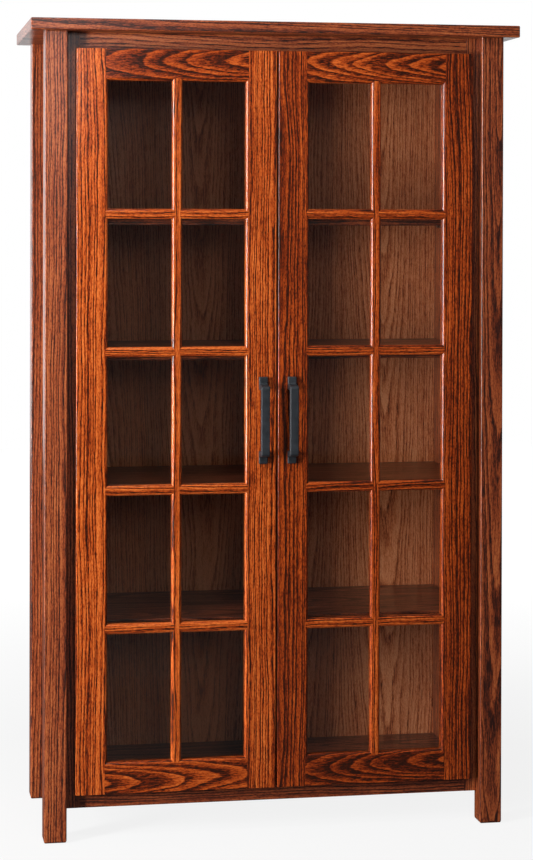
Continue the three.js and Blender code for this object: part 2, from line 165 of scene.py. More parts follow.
# %% [markdown]
# ## Where a board lay in its log
#
# The figure of oak is its growth rings, cut open by the saw. If each board knows where it lay
# in the log, the same rings give straight lines on a rift-sawn stile and pointed arches on a
# plain-sawn rail, with no picture of wood anywhere. So every point of every board carries a
# vector called `grain`: metres along the log, then across and out from its pith. The pith is
# put at a distance R and an angle from the face of the board, and the board leans a little
# in the log, because no tree is a straight cylinder.

# %% Boards with grain
CUTS = {
    # distance of the pith in metres, its angle from the face, and how much the board leans
    "plain": {"distance": (0.048, 0.072), "angle": (0, 14), "lean": (0.9, 1.2)},
    "rift": {"distance": (0.090, 0.150), "angle": (36, 60), "lean": (0.1, 0.3)},
}


def in_log(points, seed, along, face, cut, tone=None, box=None):
    """The grain vector of each point, and the tone of the board, both drawn from its name.

    Across and out are the point's place from the middle of the board, plus R (sin, cos) of
    the pith's angle, plus the lean times the distance along. Short boards are given more
    lean, because they are picked for a lively figure. A solid that is only part of a board
    gives the whole board's box.
    """
    draw = np.random.default_rng(zlib.crc32(seed.encode()))
    across = 3 - along - face
    low, high = (points.min(axis=0), points.max(axis=0)) if box is None else np.array(box)
    local = points - (low + high) / 2
    rule = CUTS[cut]
    distance = draw.uniform(*rule["distance"])
    angle = radians(draw.uniform(*rule["angle"])) * draw.choice([-1, 1])
    length = high[along] - low[along]
    lean = draw.uniform(*rule["lean"], 2) * draw.choice([-1, 1], 2) * (0.022 + 0.018 / length)
    grain = np.stack([
        local[:, along] + draw.uniform(0, 6),
        local[:, across] + distance * np.sin(angle) + 0.3 * lean[0] * local[:, along],
        local[:, face] + distance * np.cos(angle) + lean[1] * local[:, along],
    ], axis=1)
    return grain, np.full(len(points), draw.uniform(0, 1) if tone is None else tone)


def oak_piece(name, solids, material, body, nodes):
    """One object from closed solids, each given as ((points, faces), (grain, tone))."""
    points, faces, grain, tone = [], [], [], []
    count = 0
    for (solid_points, solid_faces), (solid_grain, solid_tone) in solids:
        points.append(solid_points)
        faces += [[corner + count for corner in face] for face in solid_faces]
        grain.append(solid_grain)
        tone.append(solid_tone)
        count += len(solid_points)
    mesh = bpy.data.meshes.new(name)
    mesh.from_pydata(np.concatenate(points).tolist(), [], faces)
    field = mesh.attributes.new("grain", "FLOAT_VECTOR", "POINT")
    field.data.foreach_set("vector", np.concatenate(grain).astype(np.float32).ravel())
    shade = mesh.attributes.new("tone", "FLOAT", "POINT")
    shade.data.foreach_set("value", np.concatenate(tone).astype(np.float32))
    return finish_piece(name, mesh, material, body, nodes)


def finish_piece(name, mesh, material, body, nodes):
    """Smooth shading that keeps broad faces flat, then the piece's material, body and nodes."""
    mesh.shade_smooth()
    mesh.set_sharp_from_angle(angle=radians(50))
    mesh.materials.append(material)
    piece = bpy.data.objects.new(name, mesh)
    bpy.context.scene.collection.objects.link(piece)
    weighted = piece.modifiers.new("flat faces stay flat", "WEIGHTED_NORMAL")
    weighted.keep_sharp = True
    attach(piece, body)
    if nodes:
        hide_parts(*nodes)
    return piece


def planks(node, along, face, cut, count=1, arris=0.8 * MM, ends=(CRISP, CRISP), tone=None):
    """The CAD board as `count` boards glued edge to edge, with the arris on its outer edges."""
    low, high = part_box(node)
    across = 3 - along - face
    joints = np.linspace(low[across], high[across], count + 1)
    solids = []
    for index in range(count):
        first, last = index == 0, index == count - 1
        corners = rectangle((joints[index], low[face]), (joints[index + 1], high[face]))
        outer = [arris if first else CRISP, arris if last else CRISP]
        radii = [outer[0], outer[1], outer[1], outer[0]]
        free = [1, last, 1, first]
        solid = carried(corners, radii, (across, face, along), (low[along], high[along]),
                        ends, free)
        seed = f"{node} {index}"
        solids.append((solid, in_log(solid[0], seed, along, face, cut, tone)))
    return solids


sample = planks("top_panel", X, Z, "plain", 4, 3 * MM, (3 * MM, 3 * MM))
print("the top is", len(sample), "boards of", len(sample[0][0][0]), "points each")

# %% [markdown]
# ## Materials: one way to add a node, one way to write a colour
#
# Colours are written as sRGB hex, the way a colour picker gives them, and turned to the
# linear numbers that light is added up in. One function adds any node: its settings are
# attributes, and its feeds are numbers or the outputs of other nodes.

# %% Node and colour helpers
def colour(code):
    """sRGB hex to linear red, green, blue and alpha."""
    channels = np.array([int(code[place:place + 2], 16) for place in (1, 3, 5)]) / 255
    low = channels / 12.92
    high = ((channels + 0.055) / 1.055) ** 2.4
    return (*np.where(channels <= 0.04045, low, high).tolist(), 1.0)


def add(tree, kind, feeds=None, stops=None, **settings):
    """Adds a node, gives it its settings and ramp stops, and feeds or sets its sockets."""
    made = tree.nodes.new(kind)
    for key, value in settings.items():
        setattr(made, key, value)
    if stops:
        ramp = made.color_ramp.elements
        while len(ramp) < len(stops):
            ramp.new(0.5)
        for element, (place, value) in zip(ramp, stops):
            element.position = place
            element.color = colour(value) if isinstance(value, str) else (value,) * 3 + (1,)
    for socket, value in (feeds or {}).items():
        if isinstance(value, bpy.types.NodeSocket):
            tree.links.new(value, made.inputs[socket])
        else:
            made.inputs[socket].default_value = value
    return made


def new_material(name):
    """An empty material with nodes, and its tree."""
    material = bpy.data.materials.new(name)
    material.use_nodes = True
    material.node_tree.nodes.clear()
    return material, material.node_tree


print("mid oak", [round(value, 3) for value in colour("#94431B")])

# %% [markdown]
# ## Stained red oak
#
# The case is red oak, a ring-porous wood. Each year starts with a band of large open pores
# and ends with dense, smooth wood. A brown-red stain sinks into the pores and wipes off the
# dense wood, so each ring shows as a dark, streaky band with a sharp start, fading to clear
# orange-brown. A satin lacquer over it leaves the pores slightly open.
#
# The rings are built in the order the tree made them: the distance from the pith, disturbed
# by slow waves, divided by the ring width, gives the year; the fraction of the year gives
# earlywood or latewood; stretched noise along the grain gives pores and fibres. All of them
# add up to one number, how deep the stain is, and a ramp turns that number into colour.

# %% Growth rings
RING_WIDTH = 6.5 * MM
WAVE_HEIGHT = 26 * MM
RIPPLE_HEIGHT = 4.2 * MM


def along_grain(tree, grain, along, across, detail=2.0, roughness=0.55, kind="Fac"):
    """Noise whose lumps have the given lengths along and across the grain."""
    sizes = (1 / along, 1 / across, 1 / across)
    place = add(tree, "ShaderNodeMapping", {"Vector": grain, "Scale": sizes})
    noise = add(tree, "ShaderNodeTexNoise", {
        "Vector": place.outputs["Vector"], "Scale": 1.0, "Detail": detail,
        "Roughness": roughness,
    })
    return noise.outputs[kind]


def distance_from_pith(tree, grain):
    """The length of the grain vector's last two parts, after waves have moved its point."""
    moved = grain
    # Slow waves of the trunk, about 600 mm long, and small ones round its branches.
    for long, wide, height in ((600 * MM, 120 * MM, WAVE_HEIGHT),
                               (100 * MM, 25 * MM, RIPPLE_HEIGHT)):
        waves = along_grain(tree, grain, long, wide, kind="Color")
        swing = add(tree, "ShaderNodeVectorMath", {0: waves, 1: (0.5, 0.5, 0.5)},
                    operation="SUBTRACT")
        moved = add(tree, "ShaderNodeVectorMath",
                    {0: swing.outputs[0], 1: (0, height, height), 2: moved},
                    operation="MULTIPLY_ADD").outputs[0]
    flat = add(tree, "ShaderNodeVectorMath", {0: moved, 1: (0, 1, 1)}, operation="MULTIPLY")
    radius = add(tree, "ShaderNodeVectorMath", {0: flat.outputs[0]}, operation="LENGTH")
    return radius.outputs["Value"]


def earlywood(tree, grain):
    """How open the wood is, from 0 to 1, by the time of year when the tree made it."""

    years = add(tree, "ShaderNodeMath", {0: distance_from_pith(tree, grain), 1: 1 / RING_WIDTH},
                operation="MULTIPLY")
    # Good and poor years: the ring number runs ahead or behind by about a ring.
    fortune = add(tree, "ShaderNodeTexNoise",
                  {"W": years.outputs[0], "Scale": 0.45, "Detail": 1.0}, noise_dimensions="1D")
    year = add(tree, "ShaderNodeMath",
               {0: fortune.outputs["Fac"], 1: 2.4, 2: years.outputs[0]}, operation="MULTIPLY_ADD")
    season = add(tree, "ShaderNodeMath", {0: year.outputs[0]}, operation="FRACT")
    early = add(tree, "ShaderNodeValToRGB", {"Fac": season.outputs[0]}, stops=[
        (0.00, 0.50), (0.06, 1.0), (0.20, 0.85), (0.42, 0.36), (0.70, 0.10), (0.93, 0.0),
        (1.00, 0.50),
    ])
    return early.outputs["Color"]


print("growth rings", round(RING_WIDTH / MM, 1), "mm apart")

# %% [markdown]
# The pores, the ray flecks, the fibres and the cloudy patches are four noises stretched along the
# grain. Each adds its share to the depth of the stain, and so does the board's tone, which on
# some boards is darkened as painted shade.

# %% The stain and the lacquer
def stained_oak(name, stops, tone_depth, contrast=1.0, roughness=0.32, gloss=(0.10, 0.16)):
    """Red oak, planed and sanded, wiped with stain and lacquered satin.

    The gloss is the specular level of the wood itself and the roughness of the lacquer.
    """
    material, tree = new_material(name)
    grain = add(tree, "ShaderNodeAttribute", attribute_name="grain").outputs["Vector"]
    tone = add(tree, "ShaderNodeAttribute", attribute_name="tone").outputs["Fac"]
    early = earlywood(tree, grain)

    # Pores are 0.3 mm wide and rays 0.1 mm; both are drawn about 2 mm wide, or they
    # would average out to plain brown at arm's length.
    pores = along_grain(tree, grain, 30 * MM, 1.9 * MM, 2.0, 0.6)
    flecks = along_grain(tree, grain, 6.5 * MM, 2.1 * MM, 1.0, 0.5)
    fibres = along_grain(tree, grain, 160 * MM, 5 * MM, 3.0, 0.6)
    clouds = along_grain(tree, grain, 240 * MM, 50 * MM, 2.0, 0.5)
    open_pores = add(tree, "ShaderNodeMapRange", {
        "Value": pores, "From Min": 0.44, "From Max": 0.58, "To Min": 0.0, "To Max": 1.0})
    short_flecks = add(tree, "ShaderNodeMapRange", {
        "Value": flecks, "From Min": 0.48, "From Max": 0.64, "To Min": 0.0, "To Max": 1.0})

    # Stain depth: 0 is the clearest latewood and 1 is a full pore. Each line adds one cause.
    depth = add(tree, "ShaderNodeMath",
                {0: open_pores.outputs["Result"], 1: 0.60 * contrast, 2: 0.45 * contrast},
                operation="MULTIPLY_ADD")
    depth = add(tree, "ShaderNodeMath", {0: early, 1: depth.outputs[0]}, operation="MULTIPLY")
    for cause, share in ((open_pores.outputs["Result"], 0.14),
                         (short_flecks.outputs["Result"], 0.22),
                         (fibres, 0.50), (clouds, 0.45), (tone, tone_depth)):
        depth = add(tree, "ShaderNodeMath", {0: cause, 1: share, 2: depth.outputs[0]},
                    operation="MULTIPLY_ADD")
    depth = add(tree, "ShaderNodeMath", {0: depth.outputs[0], 1: 0.57}, operation="SUBTRACT",
                use_clamp=True)
    tint = add(tree, "ShaderNodeValToRGB", {"Fac": depth.outputs[0]}, stops=stops)

    dull = add(tree, "ShaderNodeMath",
               {0: depth.outputs[0], 1: 0.16, 2: roughness}, operation="MULTIPLY_ADD")
    height = add(tree, "ShaderNodeMath", {0: open_pores.outputs["Result"], 1: early},
                 operation="MULTIPLY")
    relief = add(tree, "ShaderNodeBump", {
        "Height": height.outputs[0], "Strength": 0.5, "Distance": 0.12 * MM}, invert=True)
    shader = add(tree, "ShaderNodeBsdfPrincipled", {
        "Base Color": tint.outputs["Color"], "Roughness": dull.outputs[0], "IOR": 1.5,
        "Specular IOR Level": gloss[0], "Coat Weight": 0.75, "Coat Roughness": gloss[1],
        "Coat IOR": 1.5, "Normal": relief.outputs["Normal"]})
    add(tree, "ShaderNodeOutputMaterial", {"Surface": shader.outputs["BSDF"]})
    return material


OAK_CASE = stained_oak("red oak, stained and lacquered, case", [
    (0.0, "#B26236"), (0.25, "#904322"), (0.55, "#5C2411"), (0.90, "#290F08")], 0.26,
    contrast=0.9, gloss=(0.25, 0.26))
OAK_DOOR = stained_oak("red oak, stained and lacquered, doors", [
    (0.0, "#D87030"), (0.25, "#B34C17"), (0.55, "#6F2408"), (0.90, "#2C1005")], 0.30)
OAK_INSIDE = stained_oak("red oak, stained and lacquered, inside", [
    (0.0, "#E99668"), (0.28, "#D2784B"), (0.60, "#A8532C"), (1.0, "#602B17")], 0.12,
    contrast=0.75, roughness=0.42)
print("oak materials:", OAK_CASE.name, "|", OAK_DOOR.name, "|", OAK_INSIDE.name)

# %% [markdown]
# ## The case
#
# Four posts carry everything. Their long edges are just broken with sandpaper, and the feet
# are rounded more so that they don't splinter when the bookcase is dragged. Each rear post
# has a rabbet for the back panel, which stops above the foot.

# %% Posts
POST_ARRIS = 2.5 * MM
FOOT_EASING = 6 * MM
NOTCH_START = 0.5 * MM
# How each post was sawn, and how dark it is drawn: 0 is light and 1 is dark. The right front post
# is drawn darker than the left: painted shade, for the light falling off towards the right.
POST_CUTS_AND_SHADE = {"front_left": ("rift", 0.35), "front_right": ("plain", 0.6),
             "rear_left": ("rift", 0.5), "rear_right": ("rift", 0.5)}


def rear_post(node, side):
    """Stops for a post with the rabbet: an outline whose notch is hardly there at the foot
    and opens to the full L above it.
    """
    low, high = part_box(node)
    back_low, back_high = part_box("back_panel")
    inner = low[X] if side > 0 else high[X]
    outer = high[X] if side > 0 else low[X]
    lip = back_high[X] if side > 0 else back_low[X]
    stops = []
    for height, deep in ((low[Z], 0), (back_low[Z], 0), (back_low[Z] + CRISP, 1), (high[Z], 1)):
        notch_x = inner + side * (NOTCH_START + deep * (abs(lip - inner) - NOTCH_START))
        notch_y = high[Y] - NOTCH_START - deep * (high[Y] - back_low[Y] - NOTCH_START)
        corners = [[inner, low[Y]], [outer, low[Y]], [outer, high[Y]], [notch_x, high[Y]],
                   [notch_x, notch_y], [inner, notch_y]]
        stops.append((height, corners))
    return stops


def varied(stops, radii, ends, steps=5):
    """Like an upright carried outline, for one that changes at each stop on its way up."""
    (low, first), (high, last) = stops[0], stops[-1]
    middle = stops[1:-1]
    heights, insets = rounded_ends((low, high), ends, [height for height, _ in middle])
    corners = np.array([first] * END_STEPS + [shape for _, shape in middle] + [last] * END_STEPS)
    area = np.sum(corners[0, :, 0] * np.roll(corners[0, :, 1], -1)
                  - corners[0, :, 1] * np.roll(corners[0, :, 0], -1))
    if area < 0:
        corners, radii = corners[:, ::-1], radii[::-1]
    flat = outlines(corners, radii, insets, np.ones(len(radii)), steps)
    return stacked(flat, (X, Y, Z), heights)


for word, side in SIDES.items():
    front = f"post_front_{word}"
    cut, tone = POST_CUTS_AND_SHADE[f"front_{word}"]
    solids = planks(front, Z, Y, cut, 1, POST_ARRIS, (FOOT_EASING, CRISP), tone)
    oak_piece(f"{front}_oak", solids, OAK_CASE, "case", [front])
    rear = f"post_rear_{word}"
    radii = [POST_ARRIS] * 3 + [CRISP] * 3
    solid = varied(rear_post(rear, side), radii, (FOOT_EASING, CRISP))
    cut, tone = POST_CUTS_AND_SHADE[f"rear_{word}"]
    oak_piece(f"{rear}_oak", [(solid, in_log(solid[0], rear, Z, Y, cut, tone))], OAK_CASE,
              "case", [rear])
print("posts made")

# %% [markdown]
# The top, the floor and the shelves are wider than any one board, so they are glued up from
# several, each with a figure of its own. The back is thin plywood, faced with leaves of veneer.
# The face frame is single boards, square to each other, behind the fronts of the posts. The floor
# and the shelves are drawn darker than the rest: painted shade, for the inside of the case where
# little light reaches.

# %% Panels, shelves and face frame
BOARDS = {
    # node: (along, face, cut, boards, arris, end easing, material, slot)
    "top_panel": (X, Z, "plain", 4, 3 * MM, 3 * MM, OAK_CASE, "oak_case"),
    "back_panel": (Z, Y, "plain", 4, CRISP, CRISP, OAK_INSIDE, "oak_back"),
    "case_floor": (X, Z, "plain", 3, CRISP, CRISP, OAK_CASE, "oak_case"),
    "frame_stile_left": (Z, Y, "rift", 1, 0.8 * MM, CRISP, OAK_CASE, "oak_case"),
    "frame_stile_right": (Z, Y, "rift", 1, 0.8 * MM, CRISP, OAK_CASE, "oak_case"),
    "frame_rail_bottom": (X, Y, "rift", 1, 0.8 * MM, CRISP, OAK_CASE, "oak_case"),
    "frame_rail_top": (X, Y, "rift", 1, 0.8 * MM, CRISP, OAK_CASE, "oak_case"),
    "shelf_1": (X, Z, "plain", 3, 1.5 * MM, CRISP, OAK_CASE, "oak_case"),
    "shelf_2": (X, Z, "rift", 3, 1.5 * MM, CRISP, OAK_CASE, "oak_case"),
    "shelf_3": (X, Z, "plain", 3, 1.5 * MM, CRISP, OAK_CASE, "oak_case"),
    "shelf_4": (X, Z, "rift", 3, 1.5 * MM, CRISP, OAK_CASE, "oak_case"),
}
# The shelves and the case floor are darkened by this tone: painted shade inside the case.
SHELF_SHADE = 1.3
for node, (along, face, cut, count, arris, ends, material, slot) in BOARDS.items():
    tone = SHELF_SHADE if node.startswith("shelf") or node == "case_floor" else None
    solids = planks(node, along, face, cut, count, arris, (ends, ends), tone)
    oak_piece(f"{node}_oak", solids, material, "case", [node])
print("case boards made:", len(BOARDS))

# %% [markdown]
# The side panels are drilled on the inside with two columns of holes for the shelf pins. The
# CAD panel has the holes that hold a pin, so it is copied instead of made again, and its
# loose triangles are merged. The empty holes are cut from the copy with a Boolean modifier,
# by one mesh that holds all the drills. They follow the pins: eight steps of the jig from
# one shelf to the next, and a few more rows below the lowest shelf and above the highest.

# %% Empty pin holes
DRILL_RADIUS = 3.45 * MM
DRILL_DEPTH = 11 * MM
DRILL_SIDES = 16
STEPS_PER_SHELF = 8
SHELVES = 4
SPARE_ROWS = 5
PIN_ROWS = range(0, SHELVES * STEPS_PER_SHELF, STEPS_PER_SHELF)
HOLE_ROWS = range(-SPARE_ROWS, PIN_ROWS[-1] + SPARE_ROWS + 1)


def middle_of(node):
    """The middle of a CAD node's box."""
    low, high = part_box(node)
    return (np.array(low) + high) / 2


def drills(word, side, inner):
    """One mesh with a bar for each empty hole of a panel.

    A bar is the circle (R cos t, R sin t), carried from 1 mm outside the inner face of the
    panel to the depth of the drill.
    """
    turn = np.linspace(0, 2 * pi, DRILL_SIDES, endpoint=False)
    circle = DRILL_RADIUS * np.stack([np.cos(turn), np.sin(turn)], axis=1)
    depths = inner + side * np.array([-1 * MM, DRILL_DEPTH])
    first, second = (middle_of(f"shelf_pin_{number}_{word}_front")[Z] for number in (1, 2))
    step = (second - first) / STEPS_PER_SHELF
    points, faces = [], []
    for place in ("front", "rear"):
        column = middle_of(f"shelf_pin_1_{word}_{place}")[Y]
        for row in HOLE_ROWS:
            if row in PIN_ROWS:
                continue
            flat = np.stack([circle + [column, first + row * step]] * 2)
            bar_points, bar_faces = stacked(flat, (Y, Z, X), depths)
            faces += [[corner + len(points) for corner in face] for face in bar_faces]
            points += bar_points.tolist()
    mesh = bpy.data.meshes.new("drills")
    mesh.from_pydata(points, [], faces)
    return mesh


def drilled_copy(node, word, side):
    """The CAD panel with its triangles merged and the empty holes cut."""
    shape = bmesh.new()
    shape.from_mesh(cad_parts[node].data)
    bmesh.ops.remove_doubles(shape, verts=shape.verts, dist=0.001 * MM)
    mesh = bpy.data.meshes.new(f"{node}_oak")
    shape.to_mesh(mesh)
    shape.free()
    low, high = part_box(node)
    panel = bpy.data.objects.new("panel to drill", mesh)
    bars = bpy.data.objects.new("drills", drills(word, side, low[X] if side > 0 else high[X]))
    for item in (panel, bars):
        bpy.context.scene.collection.objects.link(item)
    drill = panel.modifiers.new("drill", "BOOLEAN")
    drill.operation = "DIFFERENCE"
    drill.object = bars
    bpy.context.view_layer.update()
    cut_panel = panel.evaluated_get(bpy.context.evaluated_depsgraph_get())
    result = bpy.data.meshes.new_from_object(cut_panel)
    for item in (panel, bars):
        bpy.data.objects.remove(item)
    return result


print("rows of holes:", len(HOLE_ROWS), "and rows that hold a pin:", len(PIN_ROWS))

# %% [markdown]
# The drilled panel is then cut along the glue lines, so that each face lies in one board. The
# grain vector goes to the corners of the faces, because a point on a glue line belongs to two
# boards at once.

# %% Drilled side panels
def glued_boards(node, mesh, along, face, cut, count):
    """Cuts a panel's faces into `count` glued boards: each face takes its own board's grain."""
    low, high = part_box(node)
    across = 3 - along - face
    joints = np.linspace(low[across], high[across], count + 1)
    shape = bmesh.new()
    shape.from_mesh(mesh)
    normal = np.eye(3)[across]
    for joint in joints[1:-1]:
        bmesh.ops.bisect_plane(shape, geom=[*shape.verts, *shape.edges, *shape.faces],
                               plane_co=normal * joint, plane_no=normal)
    shape.to_mesh(mesh)
    shape.free()
    points = np.empty(len(mesh.vertices) * 3)
    mesh.vertices.foreach_get("co", points)
    corner_point = np.empty(len(mesh.loops), int)
    mesh.loops.foreach_get("vertex_index", corner_point)
    corners = points.reshape(-1, 3)[corner_point]
    sides = np.empty(len(mesh.polygons), int)
    mesh.polygons.foreach_get("loop_total", sides)
    first = np.cumsum(sides) - sides
    middle = np.add.reduceat(corners[:, across], first) / sides
    board = np.repeat(np.searchsorted(joints[1:-1], middle), sides)
    grain, tone = np.empty((len(corners), 3)), np.empty(len(corners))
    for index in range(count):
        box = np.array([low, high])
        box[:, across] = joints[index:index + 2]
        own = board == index
        grain[own], tone[own] = in_log(corners[own], f"{node} {index}", along, face, cut, box=box)
    field = mesh.attributes.new("grain", "FLOAT_VECTOR", "CORNER")
    field.data.foreach_set("vector", grain.astype(np.float32).ravel())
    shade = mesh.attributes.new("tone", "FLOAT", "CORNER")
    shade.data.foreach_set("value", tone.astype(np.float32))


for word, side in SIDES.items():
    node = f"side_panel_{word}"
    mesh = drilled_copy(node, word, side)
    glued_boards(node, mesh, Z, X, "plain", 3)
    finish_piece(f"{node}_oak", mesh, OAK_CASE, "case", [node])
    print(node, "has", len(mesh.polygons), "faces")

# %% [markdown]
# ## The doors
#
# Each door is a frame of two stiles and two rails with a rounded-over inner edge and, behind
# it, a rebate for one pane of glass. The stiles run the full height. The rails end at the
# flat of the stiles, and their rounded edges meet those of the stiles in a mitred valley, as
# when a rail is coped over a moulding. Letting two full profiles run into each other draws
# that valley with no extra work, because each hides the other's end.

# %% Door members
ROUNDOVER = 6.4 * MM
DOOR_EASING = 2 * MM
STILE_END_EASING = 0.8 * MM
GLASS_SETBACK = 10.5 * MM
HAIRLINE = 0.35 * MM


def member(outer, sight, front, back):
    """Corners and radii of a stile or rail, in (across, depth), anticlockwise."""
    toward = np.sign(sight - outer)
    rebate = front + GLASS_SETBACK
    inside = sight - toward * ROUNDOVER
    corners = [[outer, front], [sight, front], [sight, rebate], [inside, rebate],
               [inside, back], [outer, back]]
    radii = [DOOR_EASING, ROUNDOVER - CRISP, CRISP, CRISP, CRISP, 1 * MM]
    if toward < 0:
        corners, radii = corners[::-1], radii[::-1]
    return corners, radii


def door_lines(word, side):
    """The lines that a door is drawn from, read from the boxes of its CAD parts.

    `meeting` and `hinge` hold the two edges of each stile, the one nearer the middle of the
    case first. `sight` is the bottom and top of the opening, and the rails end at `flats`.
    """
    box = {part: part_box(f"door_{word}_{part}")
           for part in ("stile_meeting", "stile_hinge", "rail_top", "rail_bottom")}
    meeting, hinge = (sorted((box[part][0][X], box[part][1][X]), key=abs)
                      for part in ("stile_meeting", "stile_hinge"))
    return SimpleNamespace(
        front=box["stile_hinge"][0][Y], back=box["stile_meeting"][1][Y],
        meeting=meeting, hinge=hinge,
        span=(box["stile_hinge"][0][Z], box["stile_hinge"][1][Z]),
        sight=(box["rail_bottom"][1][Z], box["rail_top"][0][Z]),
        flats=sorted((meeting[1] - side * ROUNDOVER, hinge[0] + side * ROUNDOVER)))


DOORS = {word: door_lines(word, side) for word, side in SIDES.items()}
print("each opening is", [round(abs(door.hinge[0] - door.meeting[1]), 4)
                          for door in DOORS.values()], "m wide")

# %% [markdown]
# The cups of the hinges sit in round pockets in the back of the hinge stile. The profile
# changes on its way up: a slot in its back opens and closes again as it passes each pocket.

# %% Hinge stile
CUP_RADIUS = 17.5 * MM
POCKET_RADIUS = 17.8 * MM
POCKET_DEPTH = 12 * MM
SLOT_SHUT = 0.5 * MM
SLOT_SCRATCH = 0.1 * MM


def hinge_stile(outer, sight, front, back, span, cups):
    """The hinge stile, with a round pocket in its back for each hinge cup.

    At the height h - R cos t the slot is as wide as the pocket's chord, 2 R sin t. Between
    the pockets it is a scratch.
    """
    toward = np.sign(sight - outer)
    inside = sight - toward * ROUNDOVER
    rebate = front + GLASS_SETBACK
    centre = cups[0][0]

    def shape(half, drop):
        near, far = centre + toward * half, centre - toward * half
        return [[outer, front], [sight, front], [sight, rebate], [inside, rebate],
                [inside, back], [near, back], [near, back - drop], [far, back - drop],
                [far, back], [outer, back]]

    scratch = shape(SLOT_SHUT, SLOT_SCRATCH)
    stops = [(span[0], scratch)]
    for _, height in cups:
        stops.append((height - POCKET_RADIUS, scratch))
        for turn in np.linspace(0, pi, 25):
            half = max(POCKET_RADIUS * np.sin(turn), SLOT_SHUT)
            # A thousandth less than R keeps the pocket's ends off the scratches beside them.
            rise = 0.999 * POCKET_RADIUS * np.cos(turn)
            stops.append((height - rise, shape(half, POCKET_DEPTH)))
        stops.append((height + POCKET_RADIUS, scratch))
    stops.append((span[1], scratch))
    radii = [DOOR_EASING, ROUNDOVER - CRISP, CRISP, CRISP, CRISP] + [0.02 * MM] * 4 + [1 * MM]
    return varied(stops, radii, (STILE_END_EASING, STILE_END_EASING))


def cup_centres(word, side):
    """The middle of each hinge cup, across and up: one cup radius in from its outer edge."""
    for number in (1, 2, 3):
        low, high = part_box(f"door_{word}_hinge_cup_{number}")
        edge = high[X] if side > 0 else low[X]
        yield edge - side * CUP_RADIUS, (low[Z] + high[Z]) / 2


print("cups of a door at the heights",
      [round(height, 3) for _, height in cup_centres("left", SIDES["left"])])

# %% Stiles and rails
# How each door member was sawn, and how dark it is drawn. The right door's members are drawn
# darker than the left's: painted shade, for the light falling off towards the right. The darkest
# go past 1.
DOOR_CUTS_AND_SHADE = {
    "left": {"stile_meeting": ("rift", 0.4), "stile_hinge": ("rift", 0.3),
             "rail_top": ("plain", 1.0), "rail_bottom": ("plain", 0.7), "muntins": 0.3},
    "right": {"stile_meeting": ("rift", 1.1), "stile_hinge": ("rift", 1.0),
              "rail_top": ("plain", 0.8), "rail_bottom": ("plain", 1.3), "muntins": 0.7},
}


def stiles_and_rails(word, side):
    """The four members of a door's frame, each its own piece."""
    door = DOORS[word]
    depth = (door.front, door.back)
    stile_ends, rail_ends = (STILE_END_EASING, STILE_END_EASING), (HAIRLINE, HAIRLINE)
    solids = {
        "stile_meeting": carried(*member(*door.meeting, *depth), (X, Y, Z), door.span,
                                 stile_ends, steps=7),
        "stile_hinge": hinge_stile(*door.hinge[::-1], *depth, door.span,
                                   list(cup_centres(word, side))),
    }
    for part, outer, sight in zip(("rail_bottom", "rail_top"), door.span, door.sight):
        solids[part] = carried(*member(outer, sight, *depth), (Z, Y, X), door.flats,
                               rail_ends, steps=7)
    for part, solid in solids.items():
        along = Z if part.startswith("stile") else X
        place = in_log(solid[0], f"door {word} {part}", along, Y, *DOOR_CUTS_AND_SHADE[word][part])
        oak_piece(f"door_{word}_{part}_oak", [(solid, place)], OAK_DOOR, f"{word}_door",
                  [f"door_{word}_{part}"])


# %% [markdown]
# Ten panes a door come from one upright glazing bar and four pairs of level ones. A bar is
# rounded over on both front edges, and its back stops a hair in front of the glass. The level
# bars end at the flat of the upright, so the rounded edges meet in valleys here too.

# %% Glazing bars
MUNTIN_WIDTH = 23.5 * MM
GLASS_GAP = 0.1 * MM
PANES_HIGH = 5


def glazing_bar(low, high, front):
    """Corners and radii of a muntin, rounded over on both front edges."""
    back = front + GLASS_SETBACK - GLASS_GAP
    corners = rectangle((low, front), (high, back))
    return corners, [ROUNDOVER - CRISP, ROUNDOVER - CRISP, CRISP, CRISP]


def glazing_bars(word):
    """The upright bar and the level bars on each side of it, joined in one piece."""
    door = DOORS[word]
    tone = DOOR_CUTS_AND_SHADE[word]["muntins"]
    centre = (door.meeting[1] + door.hinge[0]) / 2
    low, high = centre - MUNTIN_WIDTH / 2, centre + MUNTIN_WIDTH / 2
    upright = carried(*glazing_bar(low, high, door.front), (X, Y, Z),
                      (door.sight[0] - ROUNDOVER, door.sight[1] + ROUNDOVER),
                      (HAIRLINE, HAIRLINE), steps=7)
    solids = [(upright, in_log(upright[0], f"{word} upright", Z, Y, "rift", tone))]
    pitch = (door.sight[1] - door.sight[0] + MUNTIN_WIDTH) / PANES_HIGH
    for row in range(1, PANES_HIGH):
        top = door.sight[0] + row * pitch
        profile = glazing_bar(top - MUNTIN_WIDTH, top, door.front)
        for span in ((door.flats[0], low + ROUNDOVER), (high - ROUNDOVER, door.flats[1])):
            bar = carried(*profile, (Z, Y, X), span, (HAIRLINE, HAIRLINE), steps=7)
            solids.append((bar, in_log(bar[0], f"{word} bar {row}", X, Y, "rift", tone)))
    oak_piece(f"door_{word}_muntins_oak", solids, OAK_DOOR, f"{word}_door",
              [f"door_{word}_muntins"])
    print("bars in the", word, "door:", len(solids))


# %% [markdown]
# The glass is dropped in from the back and held there by a thin bead along each side.

# %% Glass beads
BEHIND_GLASS = GLASS_SETBACK + 4.1 * MM
BEAD_REVEAL = 0.6 * MM
BEAD_SINK = 0.3 * MM


def bead(door, edge, toward, axes, span):
    """A strip with rounded corners, from the wall of the rebate almost to the sight edge."""
    across = sorted((edge - toward * ROUNDOVER, edge - toward * BEAD_REVEAL))
    corners = rectangle((across[0], door.front + BEHIND_GLASS),
                        (across[1], door.back - BEAD_SINK))
    return carried(corners, [1 * MM] * 4, axes, span, (HAIRLINE, HAIRLINE))


